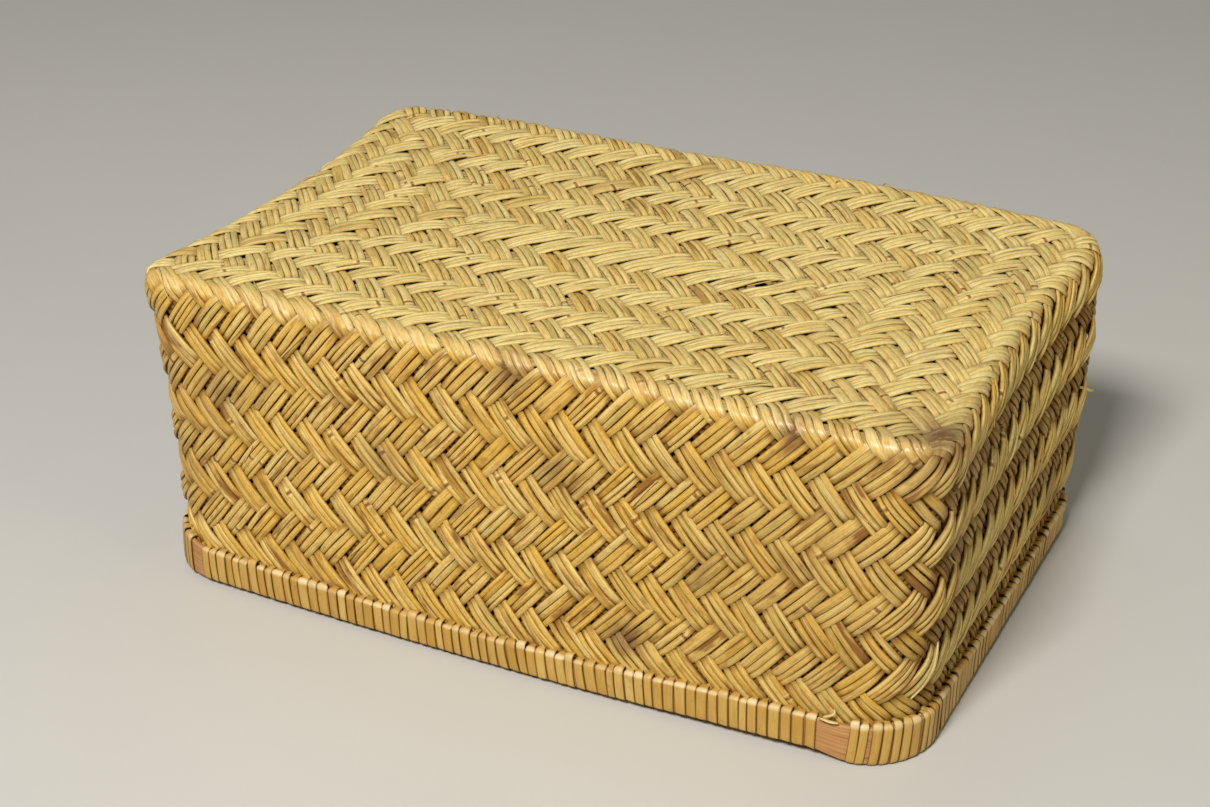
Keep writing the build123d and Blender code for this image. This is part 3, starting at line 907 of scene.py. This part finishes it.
splint_mat = splint_material("splint_skin", (0.70, 0.425, 0.070), (0.79, 0.655, 0.275), (0.42, 0.35, 0.085),
                             (0.27, 0.115, 0.020), (0.085, 0.037, 0.008))
peel_mat = peel_material("binding_peel", (0.64, 0.43, 0.12), (0.49, 0.275, 0.047), (0.30, 0.13, 0.025), (0.11, 0.036, 0.007))
hoop_mat = hoop_material("hoop_wood", (0.54, 0.285, 0.095), (0.41, 0.175, 0.050), (0.15, 0.050, 0.014))


def finish_piece(ob, material, body, nodes):
    ob.data.materials.append(material)
    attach(ob, body)
    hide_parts(*nodes)


def make_half(body, sh, rim, seed, arch, splint_t, bundle, spacing, z_cut, turn, lengths_, loose=(), soiled=()):
    made = weave(sh, seed, arch, 3.55, splint_t, bundle, spacing, z_cut, turn)
    for fam, word in ((0, "rising_right"), (1, "rising_left")):
        rows = made[fam]
        total, run, parts = sum(len(s["p"]) for s in rows), 0, [[], [], []]
        for i, s in enumerate(rows):
            parts[min(2, int(3 * run / total))].append(s)
            if i + 1 < len(rows) and rows[i + 1]["strand"] != s["strand"]:
                run = sum(len(r["p"]) for r in rows[:i + 1])
        parts[2] += [s for k, s in loose if k == fam]
        for tag, part in zip("abc", parts):
            ob = splint_mesh(f"{body}_splints_{word}_{tag}", part, turn, soiled)
            finish_piece(ob, splint_mat, body, [f"{body}_splints_{word}"])
    zt = rim.z1
    finish_piece(band(rim, f"{body}_hoop_outside", 0.72, 3.2, rim.z0 + 0.6, zt - 1.1, turn, 0.5, 1.0), hoop_mat, body, [f"{body}_outer_hoop"])
    finish_piece(band(rim, f"{body}_hoop_inside", 6.7, 9.08, rim.z0 + 0.6, zt - 0.6, turn, 0.5, 2.0), hoop_mat, body, [f"{body}_inner_hoop"])
    finish_piece(band(rim, f"{body}_filler_strand", 3.3, 6.6, rim.z0 + 0.6, rim.z0 + 3.2, turn, 1.2, 3.0), hoop_mat, body, [f"{body}_rim_core"])
    for i, (word, node, s0, s1, gaps) in enumerate(lengths_):
        ob = binding(rim, f"{body}_binding_turns_{word}", s0, s1, seed + 50 + i, turn, gaps=gaps, ident0=300 * i + 7)
        finish_piece(ob, peel_mat, body, [f"{body}_binding_{node}"])


lid_shell = Shell(26, 15, (398.8, 245.5, 23.5), (380.1, 243.7, 28.0), 157.7, 4.5, 18.6, 17.1, lid_warp)
lid_shell.parted = [(17.5, 7.5, (0.23, 0.27))]
lid_rim = Rim(390.0, 253.6, 33.0, 0.6, 18.0, lid_warp, lid_slant)
q = lid_rim.sides
corner = [q[0], q[0] + q[1], 2 * q[0] + q[1], lid_rim.total]
splinters = [
    (0, sliver([(194.6, -101.5, 57.0), (195.6, -104.0, 48.0), (193.6, -110.0, 40.5), (189.0, -116.5, 35.5)],
               (0.8, -0.6, 0.0), 1.7, 0.5, 2.2, 1)),
    (1, sliver([(196.2, 81.0, 57.0), (198.8, 71.0, 47.0), (198.8, 52.0, 41.0), (195.5, 34.0, 37.5)], (1, 0, 0), 1.3, 0.5, -2.6, 2)),
    (1, sliver([(195.5, 95.0, 86.0), (198.5, 100.0, 83.0), (200.2, 105.0, 80.0), (200.5, 110.0, 77.5)], (1, 0, 0.3), 1.6, 0.4, 2.6, 3)),
    (0, sliver([(152.5, -128.4, 21.8), (155.5, -129.0, 22.3), (158.5, -128.9, 21.7), (161.4, -128.0, 21.6)], (0, -0.4, 0.9), 1.4, 0.4, 1.8, 4)),
    (0, sliver([(154.5, -127.4, 22.6), (157.5, -127.4, 23.6), (159.8, -127.2, 25.6), (158.8, -127.0, 27.6)], (0, -1, 0.2), 1.1, 0.4, 1.8, 5)),
] + frays(lid_shell, 5, 70, 2.0)
stained = [
    (191.0, -106.0, 157.0, 15.0, 0.95), (184.0, -118.0, 148.0, 9.0, 0.6), (134.0, -123.0, 155.0, 7.5, 0.95),
    (4.0, -124.0, 153.0, 10.0, 0.7), (60.0, -126.0, 34.0, 9.0, 0.85), (96.0, -126.0, 78.0, 12.0, 0.45),
    (-150.0, -126.0, 108.0, 15.0, 0.5), (-176.0, -124.0, 60.0, 17.0, 0.4), (25.0, -126.0, 110.0, 11.0, 0.5),
    (-60.0, -126.0, 96.0, 10.0, 0.45), (201.0, 66.0, 40.0, 13.0, 0.6),
    # the last three are broad and faint: a darkening over the front's right part, one at its left end, and a wider one
    # round the right corner
    (150.0, -126.0, 80.0, 75.0, 0.20), (-178.0, -124.0, 95.0, 38.0, 0.18), (190.0, -112.0, 152.0, 30.0, 0.30),
]
make_half("lid", lid_shell, lid_rim, 11, 1.18, 1.60, 10.3, 11.15, 6.4, upright, [
    ("front", "front", lid_rim.s_front(-168.0), lid_rim.s_front(152.0), None),
    ("right", "right", lid_rim.s_front(166.8), corner[1], {1: 1.4, 6: 2.3}),
    ("back", "back", corner[1], corner[2], None),
    ("left", "left", corner[2], corner[3] + lid_rim.s_front(-176.0), None),
], splinters, stained)

base_shell = Shell(24, 14, (361.0, 223.0, 18.7), (358.3, 221.9, 17.2), 147.7, 4.5, 18.0, 16.5, base_warp)
base_rim = Rim(368.2, 231.8, 22.1, 0.0, 18.0, base_warp)
q = base_rim.sides
corner = [q[0], q[0] + q[1], 2 * q[0] + q[1], base_rim.total]
make_half("base", base_shell, base_rim, 23, 1.12, 1.52, 10.3, 10.9, 4.0, upside_down, [
    ("back", "back", 0.0, corner[0], None),
    ("right", "right", corner[0], corner[1], None),
    ("front", "front", corner[1], corner[2], None),
    ("left", "left", corner[2], corner[3], None),
])

# ---------------------------------------------------------------- stage, light and camera
def sheet(name, size, z):
    me = bpy.data.meshes.new(name)
    s = size / 2
    me.from_pydata([(-s, -s, z), (s, -s, z), (s, s, z), (-s, s, z)], [], [(0, 1, 2, 3)])
    ob = bpy.data.objects.new(name, me)
    bpy.context.scene.collection.objects.link(ob)
    return ob


floor = sheet("floor", 30.0, 0.0)
floor.data.materials.append(plain_material("floor_pale", (0.56, 0.555, 0.54), 0.7))


def area(name, place, target, size, power, color):
    light = bpy.data.lights.new(name, "AREA")
    light.shape, light.size, light.size_y = "RECTANGLE", size[0], size[1]
    light.energy, light.color = power, color
    ob = bpy.data.objects.new(name, light)
    bpy.context.scene.collection.objects.link(ob)
    ob.location = place
    ob.rotation_mode = "QUATERNION"
    ob.rotation_quaternion = (Vector(target) - Vector(place)).to_track_quat("-Z", "Y")
    return ob


area("key", (0.12, -1.62, 1.87), (0, 0, 0.08), (0.60, 0.44), 65, (1.0, 0.965, 0.90))
area("overhead", (-0.3, 0.5, 1.9), (0, 0, 0.1), (1.4, 1.0), 4, (1.0, 0.98, 0.95))
area("right_fill", (2.3, -0.35, 0.8), (0, 0, 0.08), (0.7, 0.7), 8.5, (1.0, 0.95, 0.52))

world = bpy.data.worlds.new("studio")
world.use_nodes = True
world.node_tree.nodes["Background"].inputs[0].default_value = (1.0, 0.96, 0.88, 1)
world.node_tree.nodes["Background"].inputs[1].default_value = 0.105
bpy.context.scene.world = world
bpy.context.scene.view_settings.view_transform = "Standard"

yaw, pitch, roll = (math.radians(d) for d in (26.362, 28.241, -0.254))
back = Vector((math.sin(yaw) * math.cos(pitch), -math.cos(yaw) * math.cos(pitch), math.sin(pitch)))
right = Vector((math.cos(yaw), math.sin(yaw), 0))
up = back.cross(right)
cx = right * math.cos(roll) + up * math.sin(roll)
cy = up * math.cos(roll) - right * math.sin(roll)
camera = bpy.data.cameras.new("camera")
camera.sensor_width, camera.sensor_fit, camera.lens = 36.0, "HORIZONTAL", 67.66
camera.clip_start, camera.clip_end = 0.05, 60
eye = bpy.data.objects.new("camera", camera)
bpy.context.scene.collection.objects.link(eye)
m = Matrix.Identity(4)
for i in range(3):
    m[i][0], m[i][1], m[i][2] = cx[i], cy[i], back[i]
m[0][3], m[1][3], m[2][3] = 0.42315, -0.87828, 0.60021
eye.matrix_world = m
bpy.context.scene.camera = eye
